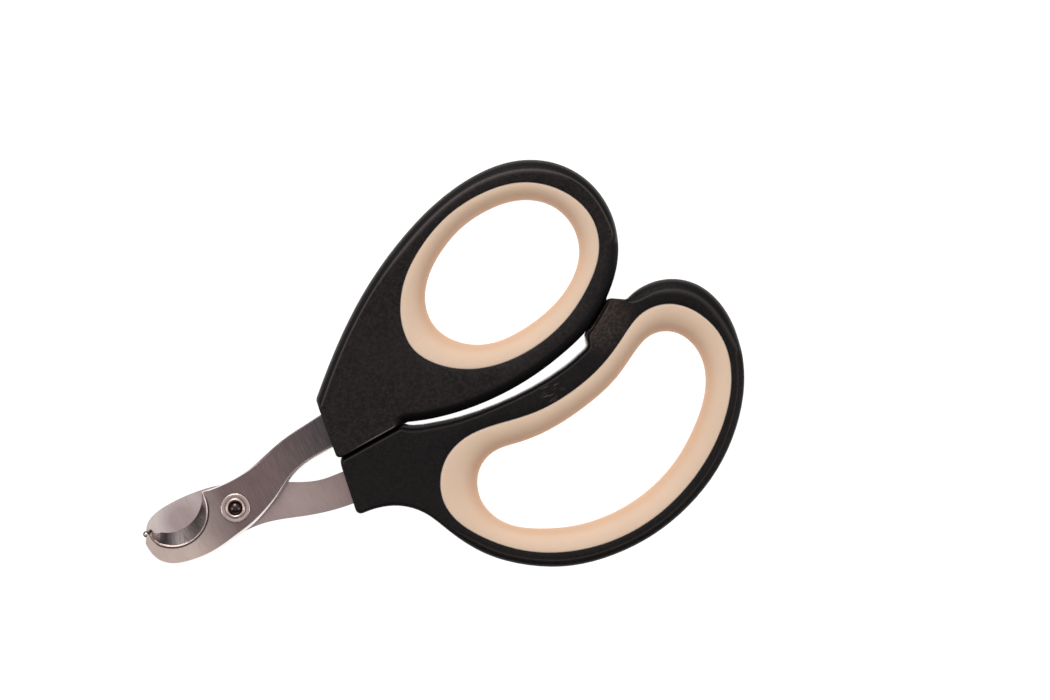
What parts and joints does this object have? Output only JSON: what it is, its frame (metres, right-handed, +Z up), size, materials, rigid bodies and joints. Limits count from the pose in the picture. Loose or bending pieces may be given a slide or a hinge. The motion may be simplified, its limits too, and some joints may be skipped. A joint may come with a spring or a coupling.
{
  "type": "pet nail trimmer",
  "caption": "Scissor-type pet nail trimmer: crescent-notched steel blades on a rivet, black loop handles with soft beige finger rings and a moulded closing stop.",
  "frame": {"origin": "on the resting plane (the handles' back faces), under the middle of the closed tool's outline", "axes": "+X from the jaws to the handles along their seam, +Y from the lower loop to the upper loop, +Z up out of the front face, along the pivot"},
  "size_m": [0.1294, 0.0834, 0.0096],
  "materials": {
    "front_blade_steel": "brushed across the arm, notch ground bright",
    "rear_blade_steel": "brushed across the arm, notch ground bright",
    "rivet_steel": "polished rolled end",
    "washer_steel": "turned",
    "upper_handle_plastic": "fine spark-eroded grain",
    "lower_handle_plastic": "fine spark-eroded grain",
    "upper_grip_rubber": "smooth matte",
    "lower_grip_rubber": "smooth matte"
  },
  "bodies": {
    "lower_lever": {"rear_blade": "rear_blade_steel", "lower_handle": "lower_handle_plastic", "lower_grip_insert": "lower_grip_rubber", "pivot_rivet": "rivet_steel", "rivet_washer": "washer_steel"},
    "upper_lever": {"front_blade": "front_blade_steel", "upper_handle": "upper_handle_plastic", "upper_grip_insert": "upper_grip_rubber"}
  },
  "joints": [
    {"name": "handle_pivot", "type": "hinge", "parent": "lower_lever", "child": "upper_lever", "pos_m": [-0.04442, 0.00403, 0.0048], "axis": [0, 0, 1], "range_deg": [0, 60]}
  ]
}
